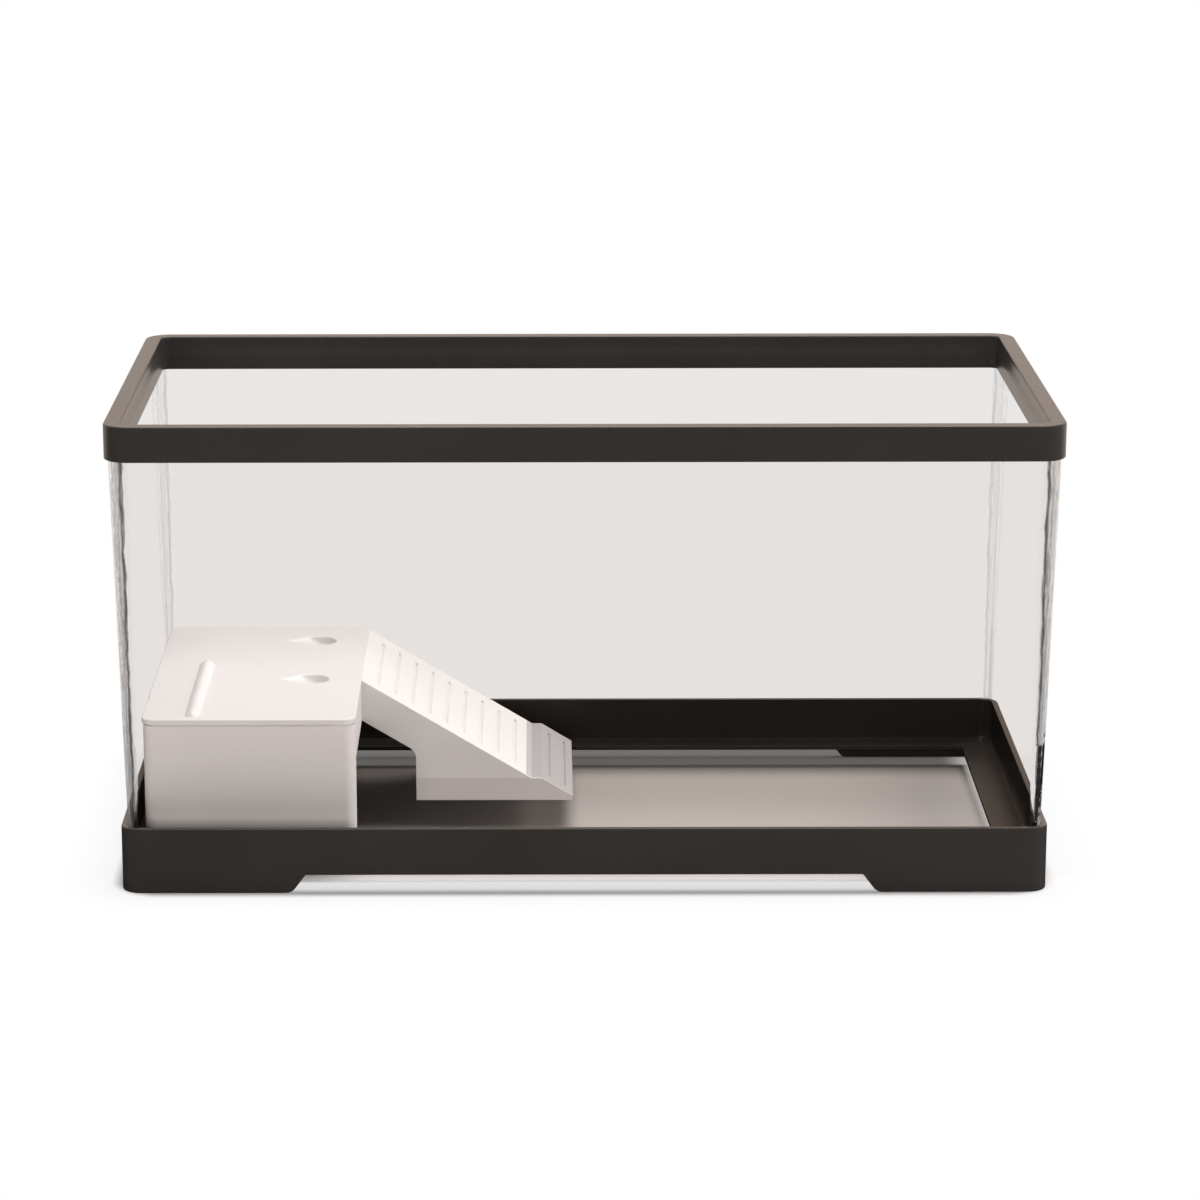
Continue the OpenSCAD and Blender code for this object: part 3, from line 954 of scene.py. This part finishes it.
# Floor, world, lamps, camera
def behind_clear(nt, rays):
    """Strength of the white backdrop: 1 in plain sight, BEHIND where clear plastic is in front of it."""
    crossed = maths(nt, "ADD", rays["Transparent Depth"], rays["Is Transmission Ray"])
    crossed = maths(nt, "MINIMUM", crossed, 1.0)
    return maths(nt, "SUBTRACT", 1.0, maths(nt, "MULTIPLY", crossed, 1.0 - BEHIND))


def painted_floor_shading(nt, co):
    """How light the floor's colour is made: a painted shadow under the platform and by the frame's back, and
    painted light towards the front."""
    deep = split(nt, co)["Y"]
    middle_x, middle_y, half_x, half_y = -110, 22, 76, 54
    from_middle = vector(nt, "SUBTRACT", co, (middle_x * MM, middle_y * MM, 0.0))
    from_platform = outside(nt, from_middle, half_x, half_y)
    under = soft_step(nt, distance(nt, from_platform), 0, 16, 0.8, 1.0)
    back = soft_step(nt, deep, 62, 87, 1.0, 0.35)
    front = soft_step(nt, deep, -85, -75, 1.3, 1.0)
    middle = soft_step(nt, deep, 40, -10, 1.0, 1.17)
    return both(nt, both(nt, under, middle), both(nt, back, front))


def round_tank(nt, co):
    """0 inside the ledge's opening and 1 far off. Between them it rises to paint light on the floor under the
    frame, and falls to a contact shadow just outside the frame, which is partly the lamps' shade and partly
    painted. The levels are at shares of the first 50 mm."""
    away = distance(nt, outside(nt, co, FRAME_X - LEDGE_W, FRAME_Y - LEDGE_W))
    levels = [(0.0, 0.0), (0.08, 0.72), (0.24, 0.66), (0.36, 0.08), (0.47, 0.88), (0.9, 1.0)]
    return grey_ramp(nt, maths(nt, "DIVIDE", away, 50 * MM), levels)


def floor_white(nt, co, rays):
    """Strength of the floor's white: less behind clear plastic, and less on a strip behind the frame, which
    is a painted shadow.
    """
    where = split(nt, co)
    # A painted shadow: the floor's white is less on a strip behind the frame's back
    strip = both(nt, soft_step(nt, where["Y"], 78, 87), soft_step(nt, where["Y"], 125, 112))
    strip = both(nt, strip, soft_step(nt, maths(nt, "ABSOLUTE", where["X"]), 170, 188, 1.0, 0.0))
    rear = maths(nt, "SUBTRACT", 1.0, maths(nt, "MULTIPLY", strip, 0.78))
    return both(nt, rear, behind_clear(nt, rays))


def pale_floor():
    """Lit by the lamps with painted shadow and light inside the ledge, white round the tank with a partly
    painted contact shadow, and warm white as gloss mirrors it.
    """
    mat, nt = new_material("pale_floor")
    rays = light_path(nt)
    co = object_place(nt)
    own = shader(nt, "ShaderNodeBsdfDiffuse", Color=vector(nt, "SCALE", FLOOR_TONE, painted_floor_shading(nt, co)))
    white = shader(nt, "ShaderNodeEmission", Strength=floor_white(nt, co, rays))
    in_sight = maths(nt, "MAXIMUM", rays["Is Camera Ray"], rays["Is Transmission Ray"])
    near = blend(nt, both(nt, round_tank(nt, co), in_sight), own, white)
    far_off = soft_step(nt, split(nt, co)["Y"], 120, 280, 0.03, 1.0)
    mirrored = shader(nt, "ShaderNodeEmission", Color=(1.0, 0.89, 0.81, 1.0), Strength=far_off)
    in_gloss = maths(nt, "MINIMUM", rays["Glossy Depth"], 1.0)
    to_surface(nt, "ShaderNodeOutputMaterial", blend(nt, in_gloss, near, mirrored))
    return mat


def make_floor():
    """A plain pale floor, as a wide disc."""
    bm = bmesh.new()
    bmesh.ops.create_circle(bm, cap_ends=True, segments=96, radius=FLOOR_RADIUS)
    floor = to_object(bm, "floor", pale_floor(), weighted=False)


def make_world():
    """A bright studio behind and over the tank and a dark one in front of it, as gloss shows it. Gloss
    behind clear plastic shows half of it."""
    world = bpy.data.worlds.new("studio")
    bpy.context.scene.world = world
    world.use_nodes = True
    nt = world.node_tree
    nt.nodes.clear()
    rays = light_path(nt)
    way = split(nt, nt.nodes.new("ShaderNodeTexCoord").outputs["Generated"])
    kind, white = "ShaderNodeBackground", (1.0, 1.0, 1.0, 1.0)
    fill = shader(nt, kind, Color=(1.0, 0.945, 0.92, 1.0), Strength=FILL)
    seen = shader(nt, kind, Color=white, Strength=behind_clear(nt, rays))
    low_sky = soft_step(nt, way["Z"], -0.02, 0.08, BEHIND, 0.25, unit=1.0)
    through = shader(nt, kind, Color=white, Strength=low_sky)
    shine = soft_step(nt, way["Y"], -0.2, 0.6, 0.05, 1.2, unit=1.0)
    crossed = maths(nt, "MINIMUM", rays["Transparent Depth"], 1.0)
    dimmed = maths(nt, "SUBTRACT", 1.0, maths(nt, "MULTIPLY", crossed, 0.5))
    gloss = shader(nt, kind, Color=(1.0, 0.815, 0.69, 1.0), Strength=both(nt, shine, dimmed))
    light = blend(nt, rays["Is Glossy Ray"], fill, gloss)
    light = blend(nt, rays["Is Transmission Ray"], light, through)
    light = blend(nt, rays["Is Camera Ray"], light, seen)
    to_surface(nt, "ShaderNodeOutputWorld", light)


def area(name, place, aim, size, power, colour, shown=True):
    """A softbox. Its places and sizes are in m, and gloss shows it if shown is true."""
    data = bpy.data.lights.new(name, "AREA")
    data.shape = "RECTANGLE"
    data.size, data.size_y = size
    data.energy = power
    data.color = colour
    obj = bpy.data.objects.new(name, data)
    bpy.context.scene.collection.objects.link(obj)
    obj.location = place
    obj.rotation_euler = (Vector(aim) - Vector(place)).to_track_quat("-Z", "Y").to_euler()
    obj.visible_glossy = shown
    obj.visible_transmission = False


def make_lamps():
    cool, warm, middle = (1.0, 0.985, 0.98), (1.0, 0.96, 0.95), (0, 0, 0.08)
    area("top_softbox", (0.15, 0.30, 1.5), (0, 0, 0.05), size=(1.0, 1.0), power=21.4, colour=cool)
    area("right_softbox", (1.5, 0.1, 0.50), middle, size=(0.8, 0.8), power=17.0, colour=cool, shown=False)
    area("front_softbox", (-0.2, -1.85, 0.50), middle, size=(1.6, 0.4), power=17.2, colour=warm, shown=False)


def make_camera():
    """The camera's directions are worked out from its tilt, and then turned by its roll."""
    tilt, roll = math.radians(TILT), math.radians(ROLL)
    forward = Vector((0, math.cos(tilt), -math.sin(tilt)))
    level_up = Vector((0, math.sin(tilt), math.cos(tilt)))
    level_side = Vector((1, 0, 0))
    side = level_side * math.cos(roll) + level_up * math.sin(roll)
    up = level_up * math.cos(roll) - level_side * math.sin(roll)
    data = bpy.data.cameras.new("camera")
    data.sensor_width = SENSOR_W
    data.lens = FOCAL / PHOTO_W * SENSOR_W
    data.shift_x = (PHOTO_W / 2 - MIDDLE_X) / PHOTO_W
    data.clip_start, data.clip_end = 0.05, 60
    cam = bpy.data.objects.new("camera", data)
    bpy.context.scene.collection.objects.link(cam)
    pose = Matrix((side, up, -forward)).transposed().to_4x4()
    pose.translation = Vector(CAMERA_AT) * MM
    cam.matrix_world = pose
    bpy.context.scene.camera = cam


make_floor()
make_world()
make_lamps()
make_camera()

scene = bpy.context.scene
scene.view_settings.view_transform = "Standard"
